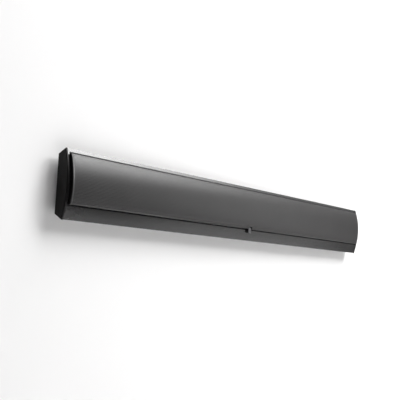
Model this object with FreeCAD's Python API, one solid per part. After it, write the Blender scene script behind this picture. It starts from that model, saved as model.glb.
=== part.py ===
"""Slim wall-hung three-channel passive soundbar, in millimetres.

X runs along the bar, Z is up, and the wall is the plane Y = 0 with the bar in front of it, at negative Y.
The origin is the middle of the wall bracket's back face, level with the middle of the bar's height.
Depths are measured forward from the back face of the end caps: a point at depth d has Y = -(wall_gap + d).
"""
import FreeCAD, Part
import math
import os

from FreeCAD import Vector

# ---------- driving dimensions ----------
bar_length = 1098.0
bar_height = 118.0
wall_gap = 7.7                # wall to the back face of the end caps

back_half_height = 49.6       # flat back, from the middle to each chamfer
corner_depth = 16.4           # depth at which a chamfer meets the bowed front
front_bow = 8.5               # how far the end cap's front bows out from corner to corner

cap_thickness = 4.0
cap_reveal = 0.5              # the caps stand this far outside the cabinet all round
gasket_thickness = 0.4
wall = 2.0                    # cabinet extrusions and rear panel
panel_half_height = 48.6      # the flat rear panel; the two extrusions take over above and below it
lap_front, lap_reach, lap_half_length = 4.0, 40.0, 537.0   # ledges that the rear panel is screwed to

window_low, window_high = -35.7, 52.8
window_half_length = 541.6
ledge_depth, ledge_thickness, ledge_width = 12.4, 1.5, 5.0

grille_half_length = 541.1
grille_top = (22.0, 50.2)     # depth, height of the grille's folded edges
grille_bottom = (26.1, -33.2)
grille_bow = 5.8
grille_back = 17.8            # depth of the grille's rear edge
skin_thickness, cloth_thickness = 1.0, 0.35
fold_radius = 1.5

baffle_front, baffle_thickness = 17.4, 3.5
baffle_half_length = 541.0
baffle_low, baffle_high = -35.4, 52.5

driver_height = 8.5           # Z of every driver's axis
channel_pitch = 385.0
woofer_offset = 74.0          # woofers either side of each channel's tweeter
channel_centres = [-channel_pitch, 0.0, channel_pitch]
channel_names = ["left", "centre", "right"]
woofer_centres = [c + side * woofer_offset for c in channel_centres for side in (-1, 1)]

frame_side, frame_corner = 76.0, 16.0     # woofer frame's square flange
frame_thickness = 2.0
woofer_hole = 33.4
coil_radius, coil_wall = 12.8, 0.45
cone_radius = 27.0
surround_outer = 32.6
yoke_radius, yoke_back = 16.0, 3.2
faceplate_radius, faceplate_thickness = 25.0, 2.5
tweeter_hole = 17.0
dome_radius = 12.4

bay_centre = channel_pitch / 2            # service bay between two channels
bay_wall_offsets = [115.0, 270.0]
peg_columns = [-520.0, -bay_centre, bay_centre, 520.0]
peg_heights = [-13.0, 30.0]
peg_radius, peg_tip = 2.4, 13.8
socket_outer, socket_inner = 4.5, 2.8

cup_half_length, cup_half_height, cup_wall = 48.0, 24.0, 1.4
cup_floor, cup_fit = 11.0, 0.2
terminal_pitch = 14.5
terminal_offsets = [(i - 2.5) * terminal_pitch for i in range(6)]
lever_names = [f"{c}_{p}" for c in channel_names for p in ("positive", "negative")]
pin_radius, pin_clearance = 1.0, 0.05
pin_depth, pin_rise = 5.6, 10.5           # lever pin, from the block's middle
wire_hole_radius, wire_hole_drop = 2.5, 9.0

bracket_half_length = 130.0
bracket_low, bracket_high, bracket_thickness = -24.0, 18.0, 2.0
slot_spacing_x, slot_spacing_z = 220.0, 24.0
slot_radius, slot_length = 2.75, 14.0
hook_top, hook_gap = 36.2, 3.4            # top of the bracket's hook, and its distance from the wall
rail_foot_low, rail_foot_high, rail_thickness = 36.5, 48.0, 1.5
rail_lip_low, rail_lip_gap = 24.5, 1.3

tab_half_width, tab_low, tab_high, tab_front = 5.5, -41.5, -29.8, 25.6
notch_half_width, notch_high = 7.5, -28.2

board_depth, board_thickness = 5.0, 1.6
board_low, board_high, board_half_length = -20.0, 38.0, 64.0


# ---------- small makers ----------
def at(x, d, z):
    return Vector(x, -(wall_gap + d), z)


def block(x0, x1, d0, d1, z0, z1):
    return Part.makeBox(x1 - x0, d1 - d0, z1 - z0, at(x0, d1, z0))


def rod(x, z, radius, d0, d1):
    """Round bar pointing forward, from depth d0 to depth d1."""
    return Part.makeCylinder(radius, d1 - d0, at(x, d0, z), Vector(0, -1, 0))


def cone_rod(x, z, r0, r1, d0, d1):
    return Part.makeCone(r0, r1, d1 - d0, at(x, d0, z), Vector(0, -1, 0))


def turned(x, z, points):
    """Ring turned about a driver's axis from a closed outline of (radius, depth) points."""
    corners = [at(x + r, d, z) for r, d in points]
    face = Part.Face(Part.makePolygon(corners + corners[:1]))
    return face.revolve(at(x, 0, z), Vector(0, -1, 0), 360)


def tube(x, z, inner, outer, d0, d1):
    return rod(x, z, outer, d0, d1).cut(rod(x, z, inner, d0 - 1, d1 + 1))


def spherical_shell(x, z, radius, rise, thickness, rim_depth):
    """Dome of the given rim radius and rise, bulging forward from its rim."""
    ball = (radius ** 2 + rise ** 2) / (2 * rise)
    middle = at(x, rim_depth + rise - ball, z)
    shell = Part.makeSphere(ball, middle).cut(Part.makeSphere(ball - thickness, middle))
    return shell.common(rod(x, z, radius, rim_depth, rim_depth + rise + 1))


def bowed_edge(x, top, bottom, bow):
    """Arc from the top point to the bottom point, bowed forward."""
    (d0, z0), (d1, z1) = top, bottom
    chord = math.hypot(d1 - d0, z1 - z0)
    middle = at(x, (d0 + d1) / 2 + bow * (z0 - z1) / chord, (z0 + z1) / 2 + bow * (d1 - d0) / chord)
    return Part.Arc(at(x, d0, z0), middle, at(x, d1, z1)).toShape()


def bowed_wire(x, top, bottom, bow, others):
    """Closed outline: the bowed front from top to bottom, then straight lines through the other points."""
    edges = [bowed_edge(x, top, bottom, bow)]
    points = [bottom] + others + [top]
    for a, b in zip(points, points[1:]):
        edges.append(Part.makeLine(at(x, *a), at(x, *b)))
    return Part.Wire(edges)


def bar_outline(x, inset):
    """The end cap's outline, moved inwards."""
    half = bar_height / 2
    others = [(0, -back_half_height), (0, back_half_height)]
    wire = bowed_wire(x, (corner_depth, half), (corner_depth, -half), front_bow, others)
    if inset:
        wire = wire.makeOffset2D(-inset, 2, False, False)
    return Part.Face(wire)


def grille_outline(x, inset):
    """The grille's outline with its two folded edges, moved inwards, open reach at the back included."""
    others = [(grille_back - 4 * inset, grille_bottom[1]), (grille_back - 4 * inset, grille_top[1])]
    wire = bowed_wire(x, grille_top, grille_bottom, grille_bow, others)
    if inset:
        wire = wire.makeOffset2D(-inset, 2, False, False)
    return Part.Face(wire)


def along(face_maker, x0, x1, inset):
    return face_maker(x0, inset).extrude(Vector(x1 - x0, 0, 0))


def fused(shapes):
    return shapes[0].multiFuse(shapes[1:]).removeSplitter() if len(shapes) > 1 else shapes[0]


def mirrored(shapes):
    """The shapes and their mirror images across X = 0."""
    return shapes + [s.mirror(Vector(0, 0, 0), Vector(1, 0, 0)) for s in shapes]


def save(name, shapes):
    """Writes a node: a list of separate solids, or one shape."""
    shapes = shapes if isinstance(shapes, list) else [shapes]
    solids = [s for shape in shapes for s in shape.Solids]
    body = solids[0] if len(solids) == 1 else Part.makeCompound(solids)
    if not body.isValid():
        raise ValueError(f"{name} is not a valid shape")
    body.exportStep(f"parts/{name}.step")


# ---------- cabinet: extrusion, end caps, hanger rail ----------
back_plane = cap_reveal                   # depth of the extrusion's back face
extrusion_half = bar_length / 2 - cap_thickness - gasket_thickness
cap_screw_column, cap_screw_height = 537.0, 30.0
cap_screws = [(sx * cap_screw_column, sz * cap_screw_height) for sx in (-1, 1) for sz in (-1, 1)]
lap_screw_height = 44.5
rear_screws = cap_screws + [(sx * x, -lap_screw_height) for sx in (-1, 1) for x in (60, 200, 340, 480)]
rear_screws += [(sx * x, lap_screw_height) for sx in (-1, 1) for x in (200, 340, 480)]
rail_screws = [(x, 43.5) for x in (-110, -40, 40, 110)]
board_corners = [
    (bay_centre + sx * (board_half_length - 5), (board_low + board_high) / 2 + sz * 24)
    for sx in (-1, 1) for sz in (-1, 1)
]
cup_corners = [(-bay_centre + sx * 51.2, driver_height + sz * 26.2) for sx in (-1, 1) for sz in (-1, 1)]
baffle_screws = [(x, z) for x in (-500, -330, -160, 0, 160, 330, 500) for z in (-32.6, 49.6)
                 if not (x == 0 and z < 0)]


def cabinet_shell():
    """The cabinet's whole section: flat back, chamfers and trims, with a web on each side of the window."""
    x0, x1 = -extrusion_half, extrusion_half
    outer = along(bar_outline, x0, x1, cap_reveal)
    hollow = along(bar_outline, x0 - 1, x1 + 1, cap_reveal + wall)
    pieces = [outer.cut(hollow)]
    # two webs run back from the window's edges, each with a ledge that the baffle is screwed to
    web_front, inner = bar_height / 4, cap_reveal + wall
    for side, edge in ((-1, window_low), (1, window_high)):
        web = sorted((edge, edge + side * wall))
        ledge = sorted((edge - side * ledge_width, edge + side * wall))
        lap = sorted((side * lap_reach, side * (panel_half_height + 1.2)))
        pieces.append(block(x0, x1, ledge_depth, web_front, *web).common(outer))
        pieces.append(block(x0, x1, ledge_depth, ledge_depth + ledge_thickness, *ledge))
        pieces.append(block(-lap_half_length, lap_half_length, inner, lap_front, *lap).common(outer))
    window = block(-window_half_length, window_half_length, ledge_depth + ledge_thickness, 60,
                   window_low, window_high)
    holes = [rod(x, z, 1.5, -1, 6) for x, z in rear_screws + rail_screws]
    holes += [rod(x, z, 1.25, -1, 4) for x, z in cup_corners]
    holes += [rod(x, z, 1.25, ledge_depth - 1, ledge_depth + 3) for x, z in baffle_screws]
    return fused(pieces).cut([window] + holes)


def cabinet_parts():
    """Rear panel, upper extrusion and lower extrusion."""
    x0, x1, inner = -extrusion_half, extrusion_half, cap_reveal + wall
    shell = cabinet_shell()
    flat = block(x0, x1, back_plane, inner, -panel_half_height, panel_half_height)
    half_length, half_height = cup_half_length + cup_fit, cup_half_height + cup_fit
    cup = block(-bay_centre - half_length, -bay_centre + half_length, -1, 6,
                driver_height - half_height, driver_height + half_height)
    frame = shell.cut(flat)
    return (shell.common(flat).cut(cup), frame.common(block(x0, x1, 0, 60, 0, 60)),
            frame.common(block(x0, x1, 0, 60, -60, 0)))


def end_cap():
    """Right-hand cap: a bevelled plate, a locating lip inside the extrusion and two screw lugs."""
    inner = bar_length / 2 - cap_thickness
    plate = along(bar_outline, inner, inner + cap_thickness, 0)
    rim = [e for e in plate.Edges if all(abs(v.Point.x - bar_length / 2) < 1e-6 for v in e.Vertexes)]
    plate = plate.makeChamfer(1.0, rim)
    lip = along(bar_outline, inner - 7, inner, cap_reveal + wall + 0.3)
    lip = lip.cut(along(bar_outline, inner - 8, inner, cap_reveal + wall + 1.8))
    lip = lip.common(block(inner - 8, inner, 0, ledge_depth - 0.4, -60, 60))
    lugs = [block(inner - 13, inner, back_plane + wall + 0.3, 10, z - 6, z + 6)
            for z in (-cap_screw_height, cap_screw_height)]
    body = fused([plate, lip] + lugs)
    return body.cut([rod(x, z, 1.5, 0, 9.5) for x, z in cap_screws if x > 0])


def end_cap_gasket():
    inner = bar_length / 2 - cap_thickness
    ring = along(bar_outline, inner - gasket_thickness, inner, cap_reveal + 0.2)
    ring = ring.cut(along(bar_outline, inner - 1, inner + 1, cap_reveal + wall - 0.2))
    return ring


def pan_screw(x, z, seat, tip, head_radius, shank_radius, head_height):
    """Cross-head pan screw driven forward: its head sits at the back, behind depth seat."""
    head = rod(x, z, head_radius, seat - head_height, seat)
    edge = [e for e in head.Edges if abs(e.BoundBox.YMax - (-(wall_gap + seat - head_height))) < 1e-6
            and e.BoundBox.YLength < 1e-6]
    head = head.makeFillet(head_height * 0.5, edge)
    body = head.fuse(rod(x, z, shank_radius, seat, tip))
    return body.cut(cross_recess(x, z, seat - head_height, head_radius, 1))


def cross_recess(x, z, surface, head_radius, direction):
    """Cross recess cut into a screw head: direction 1 cuts forward from the surface, -1 backward."""
    arm, half, depth = head_radius * 0.6, head_radius * 0.13, head_radius * 0.42
    d0, d1 = sorted((surface - 0.2 * direction, surface + depth * direction))
    return block(x - arm, x + arm, d0, d1, z - half, z + half).fuse(
        block(x - half, x + half, d0, d1, z - arm, z + arm))


def hanger_rail():
    """Folded steel rail: a foot screwed to the back, a shelf, and a lip that drops behind the hook."""
    d_wall = -wall_gap
    half = bracket_half_length
    foot = block(-half, half, back_plane - rail_thickness, back_plane, rail_foot_low, rail_foot_high)
    lip_rear, shelf_top = d_wall + rail_lip_gap, rail_foot_low + rail_thickness
    shelf = block(-half, half, lip_rear, back_plane, rail_foot_low, shelf_top)
    lip = block(-half, half, lip_rear, lip_rear + rail_thickness, rail_lip_low, shelf_top)
    body = fused([foot, shelf, lip])
    return body.cut([rod(x, z, 1.5, -3, 2) for x, z in rail_screws])


def wall_bumper():
    pad = rod(430, -36, 8, -wall_gap + 0.4, back_plane)
    rear = [e for e in pad.Edges if abs(e.BoundBox.YMin + 0.4) < 1e-6]
    return pad.makeFillet(1.2, rear)


# ---------- wall bracket ----------
def wall_bracket():
    """Folded steel plate against the wall. Its top edge steps forward and up as a hook for the rail's lip."""
    half, t = bracket_half_length, bracket_thickness
    plate = Part.makeBox(2 * half, t, bracket_high + t - bracket_low, Vector(-half, -t, bracket_low))
    corners = [e for e in plate.Edges if e.BoundBox.YLength > t - 0.01 and e.BoundBox.ZLength < 1e-6
               and e.BoundBox.ZMin < 0]
    plate = plate.makeFillet(6, corners)
    step = Part.makeBox(2 * half, hook_gap + t, t, Vector(-half, -(hook_gap + t), bracket_high))
    hook = Part.makeBox(2 * half, t, hook_top - bracket_high, Vector(-half, -(hook_gap + t), bracket_high))
    body = fused([plate, step, hook])
    cuts = []
    for x in (-slot_spacing_x / 2, slot_spacing_x / 2):
        for z in (-slot_spacing_z / 2, slot_spacing_z / 2):
            reach = slot_length / 2 - slot_radius
            ends = [Part.makeCylinder(slot_radius, t + 2, Vector(x + s * reach, 1, z), Vector(0, -1, 0))
                    for s in (-1, 1)]
            middle = Part.makeBox(2 * reach, t + 2, 2 * slot_radius,
                                  Vector(x - reach, -t - 1, z - slot_radius))
            cuts.append(fused(ends + [middle]))
    return body.cut(cuts)


# ---------- baffle and chambers ----------
def front_baffle():
    rear = baffle_front - baffle_thickness
    body = block(-baffle_half_length, baffle_half_length, rear, baffle_front, baffle_low, baffle_high)
    cuts = [rod(x, driver_height, woofer_hole, rear - 1, baffle_front + 1) for x in woofer_centres]
    cuts += [rod(x, driver_height, tweeter_hole, rear - 1, baffle_front + 1) for x in channel_centres]
    cuts += [rod(x, z, socket_outer, rear - 1, baffle_front + 1) for x in peg_columns for z in peg_heights]
    cuts += [rod(x, z, 1.25, rear - 1, baffle_front + 1) for x, z in woofer_screws + tweeter_screws]
    for x, z in baffle_screws:
        cuts += [rod(x, z, 1.25, rear - 1, baffle_front),
                 cone_rod(x, z, 1.25, 2.6, baffle_front - 1.6, baffle_front)]
    return body.cut(cuts)


def countersunk_screw(x, z):
    shank = rod(x, z, 1.25, baffle_front - 7, baffle_front - 1.6)
    head = cone_rod(x, z, 1.25, 2.6, baffle_front - 1.6, baffle_front)
    return shank.fuse(head).cut(cross_recess(x, z, baffle_front, 2.6, -1))


def chamber_wall(x):
    thickness = 3.0
    body = along(bar_outline, x - thickness / 2, x + thickness / 2, cap_reveal + wall + 0.2)
    low = block(x - 5, x + 5, 0, ledge_depth - 0.2, -60, 60)
    high = block(x - 5, x + 5, 0, baffle_front - baffle_thickness - 0.1,
                 window_low + ledge_width + 0.2, window_high - ledge_width - 0.2)
    lead_notch = block(x - 5, x + 5, lead_depth - 2, 40, min(lead_runs) - 2, max(lead_runs) + 2)
    laps = [block(x - 5, x + 5, 0, lap_front + 0.2, *sorted((s * (lap_reach - 0.2), s * 60)))
            for s in (-1, 1)]
    return body.common(fused([low, high])).cut([lead_notch] + laps)


def damping_pads():
    back = back_plane + wall + 0.1
    pads = [block(c - 108, c + 108, back, 8.6, 0.6 - lap_reach, -26) for c in channel_centres]
    ends = [block(x0, x0 + 28, back, 10, -22, lap_reach - 0.6) for x0 in (-530, 502)]
    return pads + ends


# ---------- woofers ----------
woofer_screws = [(x + sx * 30.5, driver_height + sz * 30.5)
                 for x in woofer_centres for sx in (-1, 1) for sz in (-1, 1)]
flange_front = baffle_front + frame_thickness


def woofer_frame(x):
    z, half = driver_height, frame_side / 2
    flange = block(x - half, x + half, baffle_front, flange_front, z - half, z + half)
    corners = [e for e in flange.Edges if e.BoundBox.YLength > frame_thickness - 0.01]
    flange = flange.makeFillet(frame_corner, corners)
    basket = turned(x, z, [
        (31.8, flange_front), (33.0, flange_front), (33.0, 9.0), (14.6, 9.0), (14.6, 10.2), (24.5, 10.2),
        (24.5, 11.2), (26.0, 11.2), (26.0, 10.2), (31.8, 10.2)])
    body = flange.cut(rod(x, z, 31.8, 0, 40)).fuse(basket)
    vents = []
    for i in range(6):
        vent = block(x + 17.5, x + 40, 8, 10.8, z - 5, z + 5).fuse(block(x + 28, x + 40, 8, 16, z - 5, z + 5))
        vent = vent.cut(rod(x, z, 17.5, 0, 30))
        vent.rotate(at(x, 0, z), Vector(0, 1, 0), 60 * i + 30)
        vents.append(vent)
    vents = [v.cut(tube(x, z, 24.0, 26.5, 0, 30)) for v in vents]
    holes = [rod(x + sx * 30.5, z + sz * 30.5, 1.5, 10, 30) for sx in (-1, 1) for sz in (-1, 1)]
    return body.cut(vents + holes)


def woofer_yoke(x):
    return turned(x, driver_height, [
        (0, yoke_back), (yoke_radius, yoke_back), (yoke_radius, 9.0), (14.2, 9.0), (14.2, 5.2), (0, 5.2)])


def woofer_magnet(x):
    return rod(x, driver_height, 11.0, 5.2, 7.2)


def pole_plate(x):
    return rod(x, driver_height, 12.2, 7.2, 9.0)


def woofer_cone(x):
    """Moving part of a woofer: voice-coil former, cone and dust cap, glued into one."""
    z = driver_height
    neck = coil_radius + coil_wall
    former = turned(x, z, [(coil_radius, 7.6), (neck, 7.6), (neck, 15.4), (coil_radius, 15.4)])
    cone = turned(x, z, [(neck, 14.6), (cone_radius, 18.6), (cone_radius, 19.3), (neck, 15.4)])
    return fused([former, cone]), spherical_shell(x, z, neck + 1.5, 3.2, 0.5, 15.95)


def woofer_surround(x):
    """Half-roll rubber surround between cone and frame."""
    inner, outer, base, rise, t = cone_radius + 0.05, surround_outer - 0.85, flange_front + 0.1, 2.6, 0.5
    middle, half = (inner + outer) / 2, (outer - inner) / 2
    def arch(grow):
        a, b = [at(x + middle + side * (half + grow), base, driver_height) for side in (-1, 1)]
        return a, at(x + middle, base + rise + grow, driver_height), b
    (a, top, b), (a2, top2, b2) = arch(0), arch(t)
    edges = [Part.Arc(a2, top2, b2).toShape(), Part.makeLine(b2, b),
             Part.Arc(b, top, a).toShape(), Part.makeLine(a, a2)]
    face = Part.Face(Part.Wire(edges))
    return face.revolve(at(x, 0, driver_height), Vector(0, -1, 0), 360)


def woofer_spider(x):
    inner, outer, base, t = coil_radius + coil_wall + 0.05, 25.8, 11.3, 0.4
    count = 9
    step = (outer - inner) / count
    heights = [0.9 * (i % 2) for i in range(count + 1)]
    radii = [inner + i * step for i in range(count + 1)]
    front = [(r, base + t + h) for r, h in zip(radii, heights)]
    rear = [(r, base + h) for r, h in zip(radii, heights)]
    return turned(x, driver_height, front + rear[::-1])


# ---------- tweeters ----------
tweeter_screws = [(c + 20.5 * math.cos(math.radians(a)), driver_height + 20.5 * math.sin(math.radians(a)))
                  for c in channel_centres for a in (90, 210, 330)]


def tweeter_faceplate(x):
    front = baffle_front + faceplate_thickness
    body = turned(x, driver_height, [
        (13.6, baffle_front), (faceplate_radius, baffle_front), (faceplate_radius, front - 0.6),
        (faceplate_radius - 0.6, front), (17.5, front), (13.6, front - 1.3)])
    holes = [rod(sx, sz, 1.5, 10, 30) for sx, sz in tweeter_screws if abs(sx - x) < faceplate_radius]
    return body.cut(holes)


def tweeter_motor(x):
    """Sealed neodymium motor with its cup, glued behind the faceplate."""
    return turned(x, driver_height, [
        (0, 4.4), (15.6, 4.4), (16.2, 5.0), (16.2, baffle_front), (13.2, baffle_front),
        (13.2, 11.0), (11.2, 11.0), (11.2, 16.2), (0, 16.2)])


def tweeter_dome(x):
    z = driver_height
    former = tube(x, z, 11.9, dome_radius, 12.0, 18.0)
    return former.fuse(spherical_shell(x, z, dome_radius, 4.4, 0.4, 17.9)).removeSplitter()


def tweeter_surround(x):
    return turned(x, driver_height, [
        (dome_radius + 0.1, 18.0), (13.0, 18.8), (13.55, 18.3), (13.55, 17.7), (dome_radius + 0.1, 17.7)])


# ---------- crossover ----------
def crossover_board():
    body = block(bay_centre - board_half_length, bay_centre + board_half_length,
                 board_depth, board_depth + board_thickness, board_low, board_high)
    return body.cut([rod(x, z, 1.5, 0, 20) for x, z in board_corners])


def board_spacer(x, z):
    return tube(x, z, 1.5, 3.0, back_plane + wall, board_depth)


def board_screw(x, z):
    top = board_depth + board_thickness
    head = rod(x, z, 2.6, top, top + 1.4)
    return head.fuse(rod(x, z, 1.5, back_plane + wall, top)).cut(cross_recess(x, z, top + 1.4, 2.6, -1))


component_base = board_depth + board_thickness
coil_places = [(bay_centre - 40, 22.0), (bay_centre - 40, -5.0), (bay_centre + 40, 22.0),
               (bay_centre + 40, -5.0), (bay_centre, 9.0)]


def coil(x, z):
    """Crossover inductor: flanged bobbin with its winding, lying flat on the board."""
    base = component_base
    return turned(x, z, [
        (3.0, base), (11.0, base), (11.0, base + 0.8), (10.2, base + 0.8), (10.2, base + 4.4),
        (11.0, base + 4.4), (11.0, base + 5.2), (3.0, base + 5.2)])


def capacitor(x, z):
    radius, length = 2.9, 18.0
    body = Part.makeCylinder(radius, length, at(x - length / 2, component_base + radius, z), Vector(1, 0, 0))
    return body.makeFillet(0.6, body.Edges[0:1] + body.Edges[2:3])


def resistor(x, z):
    return block(x - 10, x + 10, component_base, component_base + 5, z - 2.8, z + 2.8)


# ---------- terminals ----------
def contact(x):
    """Brass leaf under one terminal: it clamps the wire, and its tab passes through the cup's floor."""
    z = driver_height
    leaf = block(x - 2, x + 2, 9.3, 9.9, z - 10.8, z + 3.0)
    tab = block(x - 2, x + 2, 9.3, 13.4, z + 2.2, z + 3.0)
    return fused([leaf, tab])


def terminal_block(x):
    z = driver_height
    body = block(x - 6.5, x + 6.5, 2.0, cup_floor, z - 14, z + 14)
    outer = [e for e in body.Edges if e.BoundBox.ZLength < 1e-6 and e.BoundBox.YLength < 1e-6
             and e.BoundBox.YMax > -(wall_gap + 3)]
    body = body.makeChamfer(0.8, outer)
    pocket = block(x - 5.2, x + 5.2, 1, 9.3, z - 3.6, z + 16)
    hole = rod(x, z - wire_hole_drop, wire_hole_radius, 1, 9.3)
    pin_hole = Part.makeCylinder(pin_radius, 13.2, at(x - 6.6, pin_depth, z + pin_rise), Vector(1, 0, 0))
    return body.cut([pocket, hole, pin_hole, contact(x)])


def lever_pin(x):
    end = at(x - 6.3, pin_depth, driver_height + pin_rise)
    return Part.makeCylinder(pin_radius, 12.6, end, Vector(1, 0, 0))


def terminal_lever(x):
    """Sprung lever: pressed in at its lower end, it tips about the pin and frees the wire."""
    z, half = driver_height, 4.7
    boss = Part.makeCylinder(2.4, 2 * half, at(x - half, pin_depth, z + pin_rise), Vector(1, 0, 0))
    arm = block(x - half, x + half, 1.2, 4.4, z - 2.0, z + pin_rise + 1.4)
    tip = [e for e in arm.Edges if e.BoundBox.ZLength < 1e-6 and e.BoundBox.YLength < 1e-6
           and e.BoundBox.YMax > -(wall_gap + 2)]
    arm = arm.makeFillet(0.9, tip)
    ribs = [block(x - 3.6, x + 3.6, 0.9, 1.5, z + s, z + s + 0.7) for s in (0.2, 1.8, 3.4)]
    body = fused([boss, arm] + ribs)
    bore = Part.makeCylinder(pin_radius + pin_clearance, 2 * half + 2,
                             at(x - half - 1, pin_depth, z + pin_rise), Vector(1, 0, 0))
    return body.cut(bore)


def terminal_cup():
    x, z = -bay_centre, driver_height
    length, height = cup_half_length, cup_half_height
    flange = block(x - length - 6.5, x + length + 6.5, -1.0, back_plane, z - height - 5.5, z + height + 5.5)
    flange = flange.makeFillet(4, [e for e in flange.Edges if e.BoundBox.YLength > 1.4])
    tray = block(x - length, x + length, back_plane, cup_floor + cup_wall, z - height, z + height)
    hollow = block(x - length + cup_wall, x + length - cup_wall, -2, cup_floor,
                   z - height + cup_wall, z + height - cup_wall)
    contacts = [contact(x + dx) for dx in terminal_offsets]
    holes = [rod(sx, sz, 1.25, -2, 3) for sx, sz in cup_corners]
    return fused([flange, tray]).cut([hollow] + contacts + holes)


# ---------- leads inside the cabinet ----------
lead_depth, lead_radius, lead_bend = 10.9, 1.1, 7.0
lead_top = -18.5
lead_runs = [-36.0, -39.2, -42.4, -36.0]
lead_routes = [(0.0, bay_centre - 52), (-bay_centre - 20, bay_centre - 46),
               (-channel_pitch, bay_centre - 40), (bay_centre + 46, channel_pitch)]


def lead(start, end, run):
    """Twisted pair: down from one end, along the bottom of the cabinet, and up to the other."""
    x0, x1 = sorted((start, end))
    r, turn = lead_bend, lead_bend * (1 - math.cos(math.pi / 4))
    stops = [(x0, lead_top), (x0, run + r), (x0 + turn, run + turn), (x0 + r, run),
             (x1 - r, run), (x1 - turn, run + turn), (x1, run + r), (x1, lead_top)]
    p = [at(x, lead_depth, z) for x, z in stops]
    path = Part.Wire([Part.makeLine(p[0], p[1]), Part.Arc(p[1], p[2], p[3]).toShape(),
                      Part.makeLine(p[3], p[4]), Part.Arc(p[4], p[5], p[6]).toShape(),
                      Part.makeLine(p[6], p[7])])
    circle = Part.Wire([Part.makeCircle(lead_radius, p[0], Vector(0, 0, -1))])
    return path.makePipeShell([circle], True, True)


# ---------- grille ----------
def grille_skin():
    """Perforated sheet bowed forward, with both long edges folded back."""
    half = grille_half_length - 1.5
    outer = along(grille_outline, -half, half, 0)
    folds = [e for e in outer.Edges
             if e.BoundBox.XLength > half and e.BoundBox.YMax < -(wall_gap + grille_back + 1)]
    outer = outer.makeFillet(fold_radius, folds)
    inner = along(grille_outline, -half - 1, half + 1, skin_thickness)
    return outer.cut([inner, notch()])


def notch():
    return block(-notch_half_width, notch_half_width, 0, 60, -60, notch_high)


def grille_cloth():
    half = grille_half_length - 2.2
    front = along(grille_outline, -half, half, skin_thickness + 0.05)
    rear = along(grille_outline, -half - 1, half + 1, skin_thickness + 0.05 + cloth_thickness)
    keep = block(-half, half, 21.0, 60, -31.8, 50.5)
    clear = block(-notch_half_width - 1.6, notch_half_width + 1.6, 0, 60, -60, notch_high + 1.6)
    return front.cut(rear).common(keep).cut(clear)


def grille_frame():
    """Moulded frame behind the cloth: two rails, end rails, cross ribs and the walls of the notch."""
    half = grille_half_length - 1.9
    room = along(grille_outline, -half, half, skin_thickness + cloth_thickness + 0.1)
    room = room.common(block(-half, half, grille_back + 0.1, 60, -60, 60))
    top = block(-half, half, 0, 20.8, 47.2, 60)
    bottom = block(-half, half, 0, 24.6, -60, -30.1)
    ends = [block(x0, x0 + 3.2, 0, 60, -60, 60) for x0 in (-half, half - 3.2)]
    rib_columns = peg_columns + [c + s * 30.5 for c in channel_centres for s in (-1, 1)]
    ribs = [block(x - 2, x + 2, 20.6, 60, -60, 60) for x in rib_columns]
    wall_out = notch_half_width + 1.3
    collar = block(-wall_out, wall_out, 0, 60, -60, notch_high + 1.3)
    body = fused([room.common(s) for s in [top, bottom, collar] + ends + ribs])
    return body.cut(notch())


def grille_end_plate():
    inner = grille_half_length - 1.5
    plate = along(grille_outline, inner + 0.05, grille_half_length, 0)
    rim = [e for e in plate.Edges if all(abs(v.Point.x - grille_half_length) < 1e-6 for v in e.Vertexes)
           and e.BoundBox.YMin < -(wall_gap + grille_back + 0.5)]
    return plate.makeChamfer(0.4, rim)


def grille_peg(x, z):
    shank = rod(x, z, peg_radius, peg_tip + 1.2, 20.6)
    tip = cone_rod(x, z, 1.4, peg_radius, peg_tip, peg_tip + 1.2)
    return fused([shank, tip])


def grille_socket(x, z):
    body = rod(x, z, socket_outer, 12.9, baffle_front)
    return body.cut(rod(x, z, socket_inner, 13.5, baffle_front + 1))


def centre_tab():
    """Plain metal tab over the seam: it sits on the lower trim and fills the notch in the grille."""
    body = block(-tab_half_width, tab_half_width, baffle_front + 0.1, tab_front, tab_low, tab_high)
    front = [e for e in body.Edges
             if e.BoundBox.YLength < 1e-6 and e.BoundBox.YMin < -(wall_gap + tab_front - 0.1)]
    body = body.makeFillet(0.9, front)
    trim = along(bar_outline, -20, 20, cap_reveal).common(block(-20, 20, 0, 60, -60, window_low))
    return body.cut(trim)


os.makedirs("parts", exist_ok=True)

save("wall_bracket", wall_bracket())
for name, shape in zip(("rear_panel", "upper_extrusion", "lower_extrusion"), cabinet_parts()):
    save(name, shape)
save("end_cap_right", end_cap())
save("end_cap_left", end_cap().mirror(Vector(0, 0, 0), Vector(1, 0, 0)))
save("end_cap_gaskets", mirrored([end_cap_gasket()]))
save("rear_screws", [pan_screw(x, z, back_plane, 8.0, 2.8, 1.5, 1.6) for x, z in rear_screws])
save("hanger_rail", hanger_rail())
save("hanger_rail_screws", [pan_screw(x, z, back_plane - rail_thickness, 6.0, 2.8, 1.5, 1.6)
                            for x, z in rail_screws])
save("wall_bumpers", mirrored([wall_bumper()]))
save("front_baffle", front_baffle())
save("baffle_screws", [countersunk_screw(x, z) for x, z in baffle_screws])
save("chamber_walls", [chamber_wall(s * x) for s in (-1, 1) for x in bay_wall_offsets])
save("damping_pads", damping_pads())
save("woofer_frames", [woofer_frame(x) for x in woofer_centres])
save("woofer_yokes", [woofer_yoke(x) for x in woofer_centres])
save("woofer_magnets", [woofer_magnet(x) for x in woofer_centres])
save("woofer_pole_plates", [pole_plate(x) for x in woofer_centres])
save("woofer_surrounds", [woofer_surround(x) for x in woofer_centres])
save("woofer_spiders", [woofer_spider(x) for x in woofer_centres])
save("woofer_screws", [rod(x, z, 1.25, baffle_front - 5, flange_front).fuse(
    rod(x, z, 2.6, flange_front, flange_front + 1.5)).cut(cross_recess(x, z, flange_front + 1.5, 2.6, -1))
    for x, z in woofer_screws])
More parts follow.
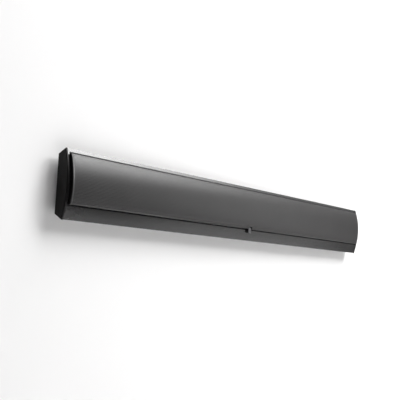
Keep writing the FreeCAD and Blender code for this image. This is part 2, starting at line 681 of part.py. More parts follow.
for channel, centre in zip(channel_names, channel_centres):
    for side, x in (("outer" if centre < 0 else "left", centre - woofer_offset),
                    ("outer" if centre > 0 else "right", centre + woofer_offset)):
        side = "inner" if centre and side != "outer" else side
        cone, dust_cap = woofer_cone(x)
        save(f"woofer_cone_{channel}_{side}", [cone, dust_cap])
    save(f"tweeter_dome_{channel}", tweeter_dome(centre))
save("tweeter_faceplates", [tweeter_faceplate(x) for x in channel_centres])
save("tweeter_motors", [tweeter_motor(x) for x in channel_centres])
save("tweeter_surrounds", [tweeter_surround(x) for x in channel_centres])
save("tweeter_screws", [rod(x, z, 1.25, baffle_front - 5, 19.9).fuse(
    rod(x, z, 2.4, 19.9, 21.2)).cut(cross_recess(x, z, 21.2, 2.4, -1)) for x, z in tweeter_screws])
save("crossover_board", crossover_board())
save("board_spacers", [board_spacer(x, z) for x, z in board_corners])
save("board_screws", [board_screw(x, z) for x, z in board_corners])
save("crossover_coils", [coil(x, z) for x, z in coil_places])
save("crossover_capacitors", [capacitor(bay_centre + s * 19, z)
                              for s in (-1, 1) for z in (26.0, 33.0, -14.0)])
save("crossover_resistors", [resistor(bay_centre + s * 19, -5.0) for s in (-1, 1)])
save("terminal_cup", terminal_cup())
save("terminal_cup_screws", [pan_screw(x, z, -1.0, 6.0, 2.4, 1.25, 1.2) for x, z in cup_corners])
save("terminal_blocks", [terminal_block(-bay_centre + dx) for dx in terminal_offsets])
save("terminal_contacts", [contact(-bay_centre + dx) for dx in terminal_offsets])
save("lever_pins", [lever_pin(-bay_centre + dx) for dx in terminal_offsets])
for name, dx in zip(lever_names, terminal_offsets):
    save(f"terminal_lever_{name}", terminal_lever(-bay_centre + dx))
save("speaker_leads", [lead(a, b, run) for (a, b), run in zip(lead_routes, lead_runs)])
save("grille_skin", grille_skin())
save("grille_cloth", grille_cloth())
save("grille_frame", grille_frame())
save("grille_end_plates", mirrored([grille_end_plate()]))
save("grille_pegs", [grille_peg(x, z) for x in peg_columns for z in peg_heights])
save("grille_sockets", [grille_socket(x, z) for x in peg_columns for z in peg_heights])
save("centre_tab", centre_tab())
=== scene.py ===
import math

import bmesh
import bpy
from mathutils import Euler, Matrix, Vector


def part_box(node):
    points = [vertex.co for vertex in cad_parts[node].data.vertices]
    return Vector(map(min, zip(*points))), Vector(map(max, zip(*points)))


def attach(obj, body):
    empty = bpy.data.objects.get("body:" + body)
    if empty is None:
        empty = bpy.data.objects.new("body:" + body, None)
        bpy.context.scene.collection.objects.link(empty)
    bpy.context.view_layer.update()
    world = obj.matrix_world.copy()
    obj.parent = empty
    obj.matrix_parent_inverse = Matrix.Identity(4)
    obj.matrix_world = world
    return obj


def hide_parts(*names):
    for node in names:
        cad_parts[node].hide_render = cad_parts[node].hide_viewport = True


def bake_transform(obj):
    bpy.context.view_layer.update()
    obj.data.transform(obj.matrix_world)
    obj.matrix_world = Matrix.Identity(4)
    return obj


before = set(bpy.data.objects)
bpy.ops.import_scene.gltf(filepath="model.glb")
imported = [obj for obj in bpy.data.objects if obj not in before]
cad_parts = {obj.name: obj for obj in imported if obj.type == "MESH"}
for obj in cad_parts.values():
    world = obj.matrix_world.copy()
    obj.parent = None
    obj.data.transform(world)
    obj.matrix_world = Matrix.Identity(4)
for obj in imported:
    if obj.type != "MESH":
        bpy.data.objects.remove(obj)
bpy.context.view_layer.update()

mm = 0.001


# ---------------------------------------------------------------- camera and studio
# The bar hangs on a white wall that curves down into a pale floor, under soft boxes at the upper right.
# The wall is clear from behind and to light, so that the back of the bar can be looked at and lit.
scene = bpy.context.scene
scene.view_settings.view_transform = "Standard"

camera_data = bpy.data.cameras.new("camera")
camera_data.lens = 69.97
camera_data.clip_end = 50
camera = bpy.data.objects.new("camera", camera_data)
camera.location = (-1.4223, -0.9424, -0.1292)
camera.rotation_euler = Euler([math.radians(a) for a in (95.22, -3.02, -53.91)])
scene.collection.objects.link(camera)
scene.camera = camera


def soft_box(name, azimuth, elevation, distance, width, height, power, aim=(0, 0, 0)):
    """Area light facing its aim, at an azimuth to the right of the bar's front and an elevation above it."""
    data = bpy.data.lights.new(name, "AREA")
    data.shape, data.size, data.size_y = "RECTANGLE", width, height
    data.energy = power
    light = bpy.data.objects.new(name, data)
    a, e = math.radians(azimuth), math.radians(elevation)
    way = Vector((math.sin(a) * math.cos(e), -math.cos(a) * math.cos(e), math.sin(e)))
    light.location = Vector(aim) + distance * way
    light.rotation_euler = (light.location - Vector(aim)).to_track_quat("Z", "Y").to_euler()
    scene.collection.objects.link(light)
    return light


soft_box("key", 40, 38, 3.0, 1.0, 1.0, 46)
soft_box("key_left", 15, 38, 3.0, 1.0, 1.0, 10)
soft_box("key_right", 62, 38, 3.0, 1.0, 1.0, 8)
soft_box("overhead", 30, 64, 3.0, 1.6, 1.2, 76)
soft_box("edge_glint", 52, 26, 3.0, 0.8, 0.5, 8)
soft_box("side_glint", 68, 20, 3.0, 0.7, 0.7, 1)
soft_box("low_front", 50, 6, 1.6, 0.8, 0.6, 2.0, aim=(0.15, 0, 0))
soft_box("low_fill", 50, -13, 1.6, 0.8, 0.6, 1.1, aim=(0.35, 0, 0))
soft_box("rear_low", 174, -8, 2.4, 1.4, 0.7, 30)
soft_box("rear_high", 150, 32, 2.4, 1.4, 0.9, 45)

world = bpy.data.worlds.new("studio_air")
world.use_nodes = True
scene.world = world
air = world.node_tree
air.nodes.clear()
dim, bright = air.nodes.new("ShaderNodeBackground"), air.nodes.new("ShaderNodeBackground")
dim.inputs["Color"].default_value = (1.0, 0.95, 0.94, 1)
dim.inputs["Strength"].default_value = 0.095
bright.inputs["Color"].default_value = (1, 1, 1, 1)
seen = air.nodes.new("ShaderNodeLightPath")
choose, air_out = air.nodes.new("ShaderNodeMixShader"), air.nodes.new("ShaderNodeOutputWorld")
air.links.new(seen.outputs["Is Camera Ray"], choose.inputs[0])
air.links.new(dim.outputs[0], choose.inputs[1])
air.links.new(bright.outputs[0], choose.inputs[2])
air.links.new(choose.outputs[0], air_out.inputs["Surface"])

backdrop_half, wall_y, wall_top, floor_level, cove, floor_reach = 6.0, 0.0006, 3.0, -1.1, 0.5, 6.0
backdrop_line = [(wall_y, wall_top), (wall_y, floor_level + cove)]
backdrop_line += [(wall_y - cove * (1 - math.cos(a)), floor_level + cove * (1 - math.sin(a)))
                  for a in [math.radians(7.5 * i) for i in range(1, 12)]]
backdrop_line += [(-cove, floor_level), (-floor_reach, floor_level)]
backdrop_mesh = bpy.data.meshes.new("backdrop")
backdrop_mesh.from_pydata(
    [(x, y, z) for x in (-backdrop_half, backdrop_half) for y, z in backdrop_line], [],
    [(i, i + 1, i + 1 + len(backdrop_line), i + len(backdrop_line)) for i in range(len(backdrop_line) - 1)])
backdrop_mesh.polygons.foreach_set("use_smooth", [True] * len(backdrop_mesh.polygons))
backdrop = bpy.data.objects.new("backdrop", backdrop_mesh)
scene.collection.objects.link(backdrop)

paint = bpy.data.materials.new("studio_paint")
paint.use_nodes = True
nodes, links = paint.node_tree.nodes, paint.node_tree.links
nodes.clear()
matt, clear = nodes.new("ShaderNodeBsdfDiffuse"), nodes.new("ShaderNodeBsdfTransparent")
matt.inputs["Color"].default_value = (0.9, 0.9, 0.9, 1)
side, ray = nodes.new("ShaderNodeNewGeometry"), nodes.new("ShaderNodeLightPath")
either = nodes.new("ShaderNodeMath")
either.operation = "MAXIMUM"
links.new(side.outputs["Backfacing"], either.inputs[0])
links.new(ray.outputs["Is Shadow Ray"], either.inputs[1])
mix, out = nodes.new("ShaderNodeMixShader"), nodes.new("ShaderNodeOutputMaterial")
links.new(either.outputs[0], mix.inputs[0])
links.new(matt.outputs[0], mix.inputs[1])
links.new(clear.outputs[0], mix.inputs[2])
links.new(mix.outputs[0], out.inputs["Surface"])
backdrop_mesh.materials.append(paint)


# ---------------------------------------------------------------- wall bracket
# A folded steel plate, black powder coated, held to the wall by four screws through its slots.
# Its top edge steps forward as a hook. The coat has a fine orange-peel texture and collects a little dust.
def node_group(name, inputs, outputs):
    """Empty shader group with named number inputs; outputs maps a name to its socket type."""
    group = bpy.data.node_groups.new(name, "ShaderNodeTree")
    for label, value in inputs.items():
        group.interface.new_socket(label, in_out="INPUT", socket_type="NodeSocketFloat").default_value = value
    for label, kind in outputs.items():
        group.interface.new_socket(label, in_out="OUTPUT", socket_type=kind)
    return group, group.nodes.new("NodeGroupInput"), group.nodes.new("NodeGroupOutput")


def maths(tree, operation, a, b=None, c=None):
    """Math node in a tree: each of a, b and c is a number or a socket."""
    node = tree.nodes.new("ShaderNodeMath")
    node.operation = operation
    for socket, value in zip(node.inputs, (a, b, c)):
        if isinstance(value, (int, float)):
            socket.default_value = value
        elif value is not None:
            tree.links.new(value, socket)
    return node.outputs[0]


# surface grain: fine relief of a coat, cloth or moulding, drawn out along the bar by its stretch, and a drift
grain, g_in, g_out = node_group(
    "surface_grain", {"Grains per Metre": 2500, "Stretch": 1, "Drift per Metre": 18},
    {"Height": "NodeSocketFloat", "Drift": "NodeSocketFloat"})
place = grain.nodes.new("ShaderNodeTexCoord").outputs["Object"]
apart, together = grain.nodes.new("ShaderNodeSeparateXYZ"), grain.nodes.new("ShaderNodeCombineXYZ")
grain.links.new(place, apart.inputs[0])
grain.links.new(maths(grain, "DIVIDE", apart.outputs["X"], g_in.outputs["Stretch"]), together.inputs["X"])
grain.links.new(apart.outputs["Y"], together.inputs["Y"])
grain.links.new(apart.outputs["Z"], together.inputs["Z"])
fine, slow = grain.nodes.new("ShaderNodeTexNoise"), grain.nodes.new("ShaderNodeTexNoise")
fine.inputs["Detail"].default_value = 2.0
slow.inputs["Detail"].default_value = 4.0
grain.links.new(together.outputs[0], fine.inputs["Vector"])
grain.links.new(place, slow.inputs["Vector"])
grain.links.new(g_in.outputs["Grains per Metre"], fine.inputs["Scale"])
grain.links.new(g_in.outputs["Drift per Metre"], slow.inputs["Scale"])
grain.links.new(fine.outputs["Fac"], g_out.inputs["Height"])
grain.links.new(slow.outputs["Fac"], g_out.inputs["Drift"])

# handling: faint smears that dull a surface, and dust that settles where it faces up
handling, h_in, h_out = node_group("handling_and_dust", {"Smear": 0.5, "Dust": 0.3},
                                   {"Smear": "NodeSocketFloat", "Dust": "NodeSocketFloat"})
place = handling.nodes.new("ShaderNodeTexCoord").outputs["Object"]
smear, speck = handling.nodes.new("ShaderNodeTexNoise"), handling.nodes.new("ShaderNodeTexNoise")
smear.inputs["Scale"].default_value, smear.inputs["Detail"].default_value = 26.0, 6.0
smear.inputs["Distortion"].default_value = 1.5
speck.inputs["Scale"].default_value, speck.inputs["Detail"].default_value = 900.0, 3.0
for texture in (smear, speck):
    handling.links.new(place, texture.inputs["Vector"])
streak = maths(handling, "POWER", smear.outputs["Fac"], 2.0)
handling.links.new(maths(handling, "MULTIPLY", streak, h_in.outputs["Smear"]), h_out.inputs["Smear"])
facing = handling.nodes.new("ShaderNodeSeparateXYZ")
handling.links.new(handling.nodes.new("ShaderNodeNewGeometry").outputs["Normal"], facing.inputs[0])
upward = maths(handling, "POWER", maths(handling, "MAXIMUM", facing.outputs["Z"], 0.0), 2.0)
settled = maths(handling, "MULTIPLY", upward, speck.outputs["Fac"])
handling.links.new(maths(handling, "MULTIPLY", settled, h_in.outputs["Dust"]), h_out.inputs["Dust"])

dust_colour = (0.42, 0.40, 0.37, 1)


def finish(name, colour, roughness, metallic=0.0, grains=2500, stretch=1, relief=0.02, drift=0.15, smear=0.12,
           dust=0.2, coat=0.0, sheen=0.0, specular=0.5):
    """Material with grain, a drift in its colour, smears in its gloss and dust. Relief is in millimetres."""
    made = bpy.data.materials.new(name)
    made.use_nodes = True
    tree = made.node_tree
    shader = tree.nodes["Principled BSDF"]
    for socket, value in (("Metallic", metallic), ("Coat Weight", coat), ("Coat Roughness", 0.12),
                          ("Sheen Weight", sheen), ("Specular IOR Level", specular)):
        shader.inputs[socket].default_value = value
    texture, marks = tree.nodes.new("ShaderNodeGroup"), tree.nodes.new("ShaderNodeGroup")
    texture.node_tree, marks.node_tree = grain, handling
    texture.inputs["Grains per Metre"].default_value = grains
    texture.inputs["Stretch"].default_value = stretch
    marks.inputs["Smear"].default_value, marks.inputs["Dust"].default_value = smear, dust
    tone, dusted = tree.nodes.new("ShaderNodeMix"), tree.nodes.new("ShaderNodeMix")
    tone.data_type = dusted.data_type = "RGBA"
    tone.inputs["A"].default_value = [c * (1 - drift) for c in colour] + [1]
    tone.inputs["B"].default_value = [min(1, c * (1 + drift)) for c in colour] + [1]
    dusted.inputs["B"].default_value = dust_colour
    tree.links.new(texture.outputs["Drift"], tone.inputs["Factor"])
    tree.links.new(marks.outputs["Dust"], dusted.inputs["Factor"])
    tree.links.new(tone.outputs["Result"], dusted.inputs["A"])
    tree.links.new(dusted.outputs["Result"], shader.inputs["Base Color"])
    dulled = maths(tree, "ADD", maths(tree, "ADD", marks.outputs["Smear"], roughness), marks.outputs["Dust"])
    tree.links.new(dulled, shader.inputs["Roughness"])
    bump = tree.nodes.new("ShaderNodeBump")
    bump.inputs["Distance"].default_value = relief * mm
    tree.links.new(texture.outputs["Height"], bump.inputs["Height"])
    tree.links.new(bump.outputs["Normal"], shader.inputs["Normal"])
    return made


def coat_node(node, material):
    """A finish on a piece that keeps its own modelled shape."""
    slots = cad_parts[node].data.materials
    slots.clear()
    slots.append(material)


def plain(mesh, name, smooth_below=35):
    """Object of a mesh with its doubles merged, its faces outwards and smooth shading below the angle."""
    shape = bmesh.new()
    shape.from_mesh(mesh)
    bmesh.ops.remove_doubles(shape, verts=shape.verts, dist=0.002 * mm)
    bmesh.ops.recalc_face_normals(shape, faces=shape.faces)
    shape.to_mesh(mesh)
    shape.free()
    mesh.polygons.foreach_set("use_smooth", [True] * len(mesh.polygons))
    mesh.set_sharp_from_angle(angle=math.radians(smooth_below))
    made = bpy.data.objects.new(name, mesh)
    scene.collection.objects.link(made)
    return made


def rounded(piece, width, segments=2, angle=35):
    """Small round on every edge that turns more than the angle."""
    bevel = piece.modifiers.new("edge_round", "BEVEL")
    bevel.width, bevel.segments, bevel.limit_method = width, segments, "ANGLE"
    bevel.angle_limit = math.radians(angle)
    bevel.harden_normals = True
    return piece


def fit_piece(piece, body, slot, material, *stands_for):
    """Gives a finished piece its material, its body and the modelled nodes it stands for."""
    piece.data.materials.clear()
    piece.data.materials.append(material)
    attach(piece, body)
    if stands_for:
        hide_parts(*stands_for)
    return piece


def eased(node, name, edge_round, smooth_below=30):
    """Copy of a modelled node with its flat faces joined up and its edges eased."""
    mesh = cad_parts[node].data.copy()
    mesh.name = name
    shape = bmesh.new()
    shape.from_mesh(mesh)
    bmesh.ops.remove_doubles(shape, verts=shape.verts, dist=0.003 * mm)
    bmesh.ops.dissolve_limit(shape, angle_limit=math.radians(0.5), verts=shape.verts, edges=shape.edges)
    shape.to_mesh(mesh)
    shape.free()
    piece = plain(mesh, name, smooth_below)
    if edge_round:
        rounded(piece, edge_round)
        piece.modifiers["edge_round"].use_clamp_overlap = True
    return piece


powder_black = finish("powder_black", (0.022, 0.022, 0.023), 0.45, grains=1400, relief=0.05, dust=0.35)
fit_piece(eased("wall_bracket", "bracket_plate", 0.3 * mm), "bracket", "bracket_steel", powder_black,
          "wall_bracket")


# ---------------------------------------------------------------- cabinet: two extrusions and a rear panel
# Black anodised aluminium. The upper and lower extrusions carry the bowed trims and the chamfers, and a flat
# rear panel is screwed to them. They are sawn from stock lengths, so every long edge has a small round.
# the back face of the caps and half the bar's height, then the outline's bow, corner depth and flat back
outline_back, outline_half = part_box("end_cap_left")[1].yz
outline_bow, outline_corner, outline_back_half = 8.5 * mm, 16.4 * mm, 49.6 * mm


def bar_outline(inset, steps=40):
    """The bar's section as (y, z) points, moved inwards, starting at the top front corner."""
    radius = (outline_half ** 2 + outline_bow ** 2) / (2 * outline_bow)
    centre = outline_corner + outline_bow - radius
    slope = Vector((outline_corner, outline_half - outline_back_half)).normalized()
    normal = Vector((-slope.y, slope.x))
    start = Vector((0, outline_back_half)) - normal * inset
    to_centre = start - Vector((centre, 0))
    b, c = to_centre.dot(slope), to_centre.length_squared - (radius - inset) ** 2
    corner = start + slope * (-b + math.sqrt(b * b - c))
    rear = start + slope * ((inset - start.x) / slope.x)
    reach = math.asin(corner.y / (radius - inset))
    front = [(centre + (radius - inset) * math.cos(a), (radius - inset) * math.sin(a))
             for a in [reach - 2 * reach * i / steps for i in range(steps + 1)]]
    return [(outline_back - d, z) for d, z in front + [(rear.x, -rear.y), (rear.x, rear.y)]]


def prism(name, outline, x0, x1):
    """Solid with a (y, z) outline, from x0 to x1."""
    count = len(outline)
    mesh = bpy.data.meshes.new(name)
    sides = [(i, (i + 1) % count, count + (i + 1) % count, count + i) for i in range(count)]
    ends = [tuple(range(count)), tuple(range(count, 2 * count))]
    mesh.from_pydata([(x, y, z) for x in (x0, x1) for y, z in outline], [], sides + ends)
    return plain(mesh, name)


def slab(name, low, high):
    """Solid box between two corners."""
    (x0, y0, z0), (x1, y1, z1) = low, high
    return prism(name, [(y0, z0), (y1, z0), (y1, z1), (y0, z1)], x0, x1)


def baked(piece, smooth_below=35):
    """Turns the modified piece into plain mesh and drops its modifiers."""
    bpy.context.view_layer.update()
    evaluated = piece.evaluated_get(bpy.context.evaluated_depsgraph_get())
    mesh = bpy.data.meshes.new_from_object(evaluated)
    piece.modifiers.clear()
    old, piece.data = piece.data, mesh
    mesh.name = piece.name
    bpy.data.meshes.remove(old)
    mesh.polygons.foreach_set("use_smooth", [True] * len(mesh.polygons))
    mesh.set_sharp_from_angle(angle=math.radians(smooth_below))
    return piece


def combined(piece, others, operation="DIFFERENCE"):
    """Cuts the others from the piece, or joins them to it, as one clean mesh."""
    for other in others:
        step = piece.modifiers.new(other.name, "BOOLEAN")
        step.operation, step.solver, step.object = operation, "EXACT", other
    baked(piece)
    for other in others:
        bpy.data.objects.remove(other)
    return piece


case_low, case_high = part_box("upper_extrusion")
panel_low, panel_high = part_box("rear_panel")
baffle_low, baffle_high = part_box("front_baffle")
reveal, case_wall = outline_back - panel_high.y, panel_high.y - panel_low.y
window_low, window_high = baffle_low.z - 0.3 * mm, baffle_high.z + 0.3 * mm
window_half, ledge_rear = baffle_high.x + 0.6 * mm, outline_back - 12.4 * mm

trim = prism("trim", bar_outline(reveal), case_low.x, case_high.x)
webs = [slab("web", (case_low.x - 2 * mm, -34 * mm, z), (case_high.x + 2 * mm, ledge_rear, z + case_wall))
        for z in (window_low - case_wall, window_high)]
hollow = combined(prism("hollow", bar_outline(reveal + case_wall), case_low.x - mm, case_high.x + mm), webs)
window = slab("window", (-window_half, -60 * mm, window_low), (window_half, ledge_rear, window_high))
flat = slab("flat", (-1, panel_low.y, -panel_high.z), (1, 0, panel_high.z))
trim = combined(trim, [hollow, window, flat])
anodised = finish("anodised_black", (0.020, 0.020, 0.0205), 0.20, grains=2400, stretch=80, relief=0.0015,
                  smear=0.06, dust=0.03, specular=0.6)
for name, below, above in (("upper", -1, 0), ("lower", 0, 1)):
    extrusion = bpy.data.objects.new("trim_" + name, trim.data.copy())
    scene.collection.objects.link(extrusion)
    rounded(combined(extrusion, [slab("away", (-1, -1, below), (1, 1, above))]), 0.35 * mm)
    fit_piece(extrusion, "cabinet", "anodised_black", anodised, name + "_extrusion")
bpy.data.objects.remove(trim)

cup_low, cup_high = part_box("terminal_cup")
flange_reach = Vector((6.3, 0, 5.3)) * mm
panel = slab("rear_plate", panel_low, panel_high)
cup_hole = slab("cup_hole", (cup_low.x + flange_reach.x, -1, cup_low.z + flange_reach.z),
                (cup_high.x - flange_reach.x, 1, cup_high.z - flange_reach.z))
rounded(combined(panel, [cup_hole]), 0.2 * mm)
fit_piece(panel, "cabinet", "anodised_black", anodised, "rear_panel")


# ---------------------------------------------------------------- end caps and their gaskets
# Two satin black mouldings close the ends. Each plate stands half a millimetre proud all round, with a
# bevelled rim, a locating lip inside the extrusion, and two lugs that take screws from the back.
cap_black = finish("cap_black", (0.003, 0.003, 0.003), 0.36, grains=3200, relief=0.010, smear=0.06, dust=0.01,
                   specular=0.15)
for side, node in ((-1, "end_cap_left"), (1, "end_cap_right")):
    low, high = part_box(node)
    outer, inner = (low.x, low.x + 4 * mm) if side < 0 else (high.x, high.x - 4 * mm)
    rim = 1.0 * mm
    face, shoulder = bar_outline(rim), bar_outline(0)
    count = len(face)
    stations = [(outer, face), (outer - side * rim, shoulder), (inner, shoulder)]
    mesh = bpy.data.meshes.new(node)
    rings = [(i + j, i + (j + 1) % count, i + count + (j + 1) % count, i + count + j)
             for i in (0, count) for j in range(count)]
    mesh.from_pydata([(x, y, z) for x, line in stations for y, z in line], [],
                     rings + [tuple(range(count)), tuple(range(2 * count, 3 * count))])
    cap = plain(mesh, "cap_" + ("left" if side < 0 else "right"))
    lip = prism("lip", bar_outline(2.8 * mm), inner - side * 7 * mm, inner + side * 0.5 * mm)
    lip = combined(lip, [prism("lip_room", bar_outline(4.3 * mm), inner - side * 9 * mm, inner),
                         slab("lip_front", (-0.6, -60 * mm, -0.1), (0.6, outline_back - 12 * mm, 0.1))])
    lug_ends = sorted((inner, inner - side * 13 * mm))
    lugs = [slab("lug", (lug_ends[0], outline_back - 10 * mm, z - 6 * mm),
                 (lug_ends[1], outline_back - 2.8 * mm, z + 6 * mm)) for z in (-30 * mm, 30 * mm)]
    cap = combined(cap, [lip] + lugs, "UNION")
    rounded(cap, 0.25 * mm)
    fit_piece(cap, "cabinet", "cap_plastic", cap_black, node)

gasket_foam = finish("gasket_foam", (0.008, 0.008, 0.008), 0.85, grains=1800, relief=0.08)
coat_node("end_cap_gaskets", gasket_foam)


# ---------------------------------------------------------------- rear hardware
# A folded steel rail that hooks on the bracket, screwed to the upper edge of the back, and two rubber bumpers
# that keep the lower edge off the wall. Cross-head pan screws hold the panel, the caps, the rail and the cup.
fit_piece(eased("hanger_rail", "hook_rail", 0.25 * mm), "cabinet", "bracket_steel", powder_black,
          "hanger_rail")

soft_rubber = finish("soft_rubber", (0.014, 0.014, 0.014), 0.62, grains=900, relief=0.04, dust=0.3)
fit_piece(eased("wall_bumpers", "bumper_feet", 0.3 * mm), "cabinet", "rubber", soft_rubber, "wall_bumpers")


def solids_of(node):
    """Box of each separate solid in a modelled node, as (lowest corner, highest corner)."""
    shape = bmesh.new()
    shape.from_mesh(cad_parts[node].data)
    bmesh.ops.remove_doubles(shape, verts=shape.verts, dist=0.003 * mm)
    found, seen = [], set()
    for first in shape.verts:
        if first in seen:
            continue
        group, front = {first}, [first]
        while front:
            front = [o for v in front for e in v.link_edges for o in (e.other_vert(v),) if o not in group]
            group.update(front)
        seen |= group
        found.append(tuple(Vector([pick(v.co[i] for v in group) for i in range(3)]) for pick in (min, max)))
    shape.free()
    return sorted(found, key=lambda box: (round(box[0].x, 4), box[0].z))


def turned(name, outline, x=0.0, z=0.0, segments=48, start=0.0, sweep=360.0, smooth_below=35):
    """Solid turned about a front-to-back axis at x and z, from a closed outline of (radius, y) points."""
    count, whole = len(outline), sweep >= 360
    rings = segments if whole else segments + 1
    points = []
    for i in range(rings):
        a = math.radians(start + sweep * i / segments)
        points += [(x + r * math.cos(a), y, z + r * math.sin(a)) for r, y in outline]
    faces = [(i * count + j, i * count + (j + 1) % count, (i + 1) % rings * count + (j + 1) % count,
              (i + 1) % rings * count + j) for i in range(segments) for j in range(count)]
    if not whole:
        faces += [tuple(range(count)), tuple(range((rings - 1) * count, rings * count))]
    mesh = bpy.data.meshes.new(name)
    mesh.from_pydata(points, [], faces)
    return plain(mesh, name, smooth_below)


def screw_shape(name, head_radius, head_height, crown):
    """Screw head facing -Y, seated on y = 0, with a cross recess. Crown is the depth of its domed edge."""
    arc = [(head_radius - crown * (1 - math.cos(a)), -(head_height - crown + crown * math.sin(a)))
           for a in [math.radians(t) for t in (0, 30, 60, 90)]]
    edge = arc if crown else [(head_radius, -head_height)]
    head = turned(name, [(0, 0.3 * mm), (head_radius, 0.3 * mm)] + edge + [(0, -head_height)], segments=20)
    arm, half, depth = head_radius * 0.6, head_radius * 0.14, head_radius * 0.42
    cross = [slab("cross", (-a, -head_height - mm, -b), (a, -head_height + depth, b))
             for a, b in ((arm, half), (half, arm))]
    return combined(head, cross)


def modifier_tree(name, inputs):
    """Empty geometry tree with named inputs, each given as (label, socket type, value)."""
    tree = bpy.data.node_groups.new(name, "GeometryNodeTree")
    tree.interface.new_socket("Geometry", in_out="INPUT", socket_type="NodeSocketGeometry")
    for label, kind, value in inputs:
        made = tree.interface.new_socket(label, in_out="INPUT", socket_type=kind)
        if value is not None:
            made.default_value = value
    tree.interface.new_socket("Geometry", in_out="OUTPUT", socket_type="NodeSocketGeometry")
    return tree, tree.nodes.new("NodeGroupInput"), tree.nodes.new("NodeGroupOutput")


def give_inputs(modifier, **values):
    """Sets a geometry modifier's inputs by their labels, with underscores for spaces."""
    for item in modifier.node_group.interface.items_tree:
        label = item.name.replace(" ", "_")
        if item.in_out == "INPUT" and label in values:
            modifier[item.identifier] = values[label]


# a screw at each point, each turned by its own random angle about its axis
screwing, s_in, s_out = modifier_tree("screws_at_points", [
    ("Screw", "NodeSocketObject", None), ("Seed", "NodeSocketInt", 0),
    ("Finish", "NodeSocketMaterial", None)])
screw_info = screwing.nodes.new("GeometryNodeObjectInfo")
on_points = screwing.nodes.new("GeometryNodeInstanceOnPoints")
spin, as_turn = screwing.nodes.new("FunctionNodeRandomValue"), screwing.nodes.new("ShaderNodeCombineXYZ")
spin.data_type = "FLOAT"
spin.inputs[3].default_value = math.radians(90)
realize = screwing.nodes.new("GeometryNodeRealizeInstances")
painted = screwing.nodes.new("GeometryNodeSetMaterial")
for a, b in ((s_in.outputs["Screw"], screw_info.inputs["Object"]),
             (s_in.outputs["Geometry"], on_points.inputs["Points"]),
             (screw_info.outputs["Geometry"], on_points.inputs["Instance"]),
             (s_in.outputs["Seed"], spin.inputs["Seed"]),
             (spin.outputs[1], as_turn.inputs["Y"]),
             (as_turn.outputs[0], on_points.inputs["Rotation"]),
             (on_points.outputs["Instances"], realize.inputs["Geometry"]),
             (realize.outputs[0], painted.inputs["Geometry"]),
             (s_in.outputs["Finish"], painted.inputs["Material"]),
             (painted.outputs[0], s_out.inputs[0])):
    screwing.links.new(a, b)


def driven(name, screw, points, seed, material, slot, node):
    """Like screws in the cabinet, one at each point, as one mesh that stands for their node."""
    mesh = bpy.data.meshes.new(name)
    mesh.from_pydata(points, [], [])
    piece = bpy.data.objects.new(name, mesh)
    scene.collection.objects.link(piece)
    modifier = piece.modifiers.new("screws", "NODES")
    modifier.node_group = screwing
    give_inputs(modifier, Screw=screw, Seed=seed, Finish=material)
    return fit_piece(baked(piece), "cabinet", slot, material, node)


def facing_back(screw):
    """Turns a screw round so that its head faces +Y."""
    for vertex in screw.data.vertices:
        vertex.co.x, vertex.co.y = -vertex.co.x, -vertex.co.y
    screw.data.update()
    return screw


screw_black = finish("screw_black", (0.018, 0.018, 0.019), 0.30, metallic=0.6, grains=5000, relief=0.006,
                     smear=0.2)
screw_zinc = finish("screw_zinc", (0.55, 0.54, 0.52), 0.28, metallic=1.0, grains=4000, relief=0.006,
                    smear=0.25)
pan_head = facing_back(screw_shape("pan_head", 2.8 * mm, 1.6 * mm, 0.8 * mm))
small_pan = facing_back(screw_shape("small_pan", 2.4 * mm, 1.2 * mm, 0.6 * mm))
for name, node, screw, height, material, slot in (
        ("screws_rear", "rear_screws", pan_head, 1.6 * mm, screw_black, "screw_black"),
        ("screws_rail", "hanger_rail_screws", pan_head, 1.6 * mm, screw_zinc, "screw_zinc"),
        ("screws_cup", "terminal_cup_screws", small_pan, 1.2 * mm, screw_black, "screw_black")):
    heads = [((low.x + high.x) / 2, high.y - height, (low.z + high.z) / 2) for low, high in solids_of(node)]
    driven(name, screw, heads, 3, material, slot, node)


# ---------------------------------------------------------------- baffle
# A moulded front board, screwed to the extrusions' ledges, that carries the nine drivers and the rubber
# sockets for the grille's pegs. Its face has a fine spark-eroded texture. Dividing walls and wool lie behind.
moulded = finish("moulded_black", (0.016, 0.016, 0.017), 0.55, grains=1500, relief=0.06, dust=0.25)
fit_piece(eased("front_baffle", "driver_board", 0.2 * mm), "cabinet", "baffle_plastic", moulded,
          "front_baffle")
fit_piece(eased("chamber_walls", "dividing_walls", 0), "cabinet", "baffle_plastic", moulded, "chamber_walls")
fit_piece(eased("grille_sockets", "peg_sockets", 0.2 * mm), "cabinet", "rubber", soft_rubber,
          "grille_sockets")
flush_head = screw_shape("flush_head", 2.6 * mm, 0.02 * mm, 0)


def front_seats(node, head_height):
    """Points under the heads of a node's screws that face the front."""
    return [((low.x + high.x) / 2, low.y + head_height, (low.z + high.z) / 2) for low, high in solids_of(node)]


driven("screws_board", flush_head, front_seats("baffle_screws", 0), 5, screw_black, "screw_black",
       "baffle_screws")

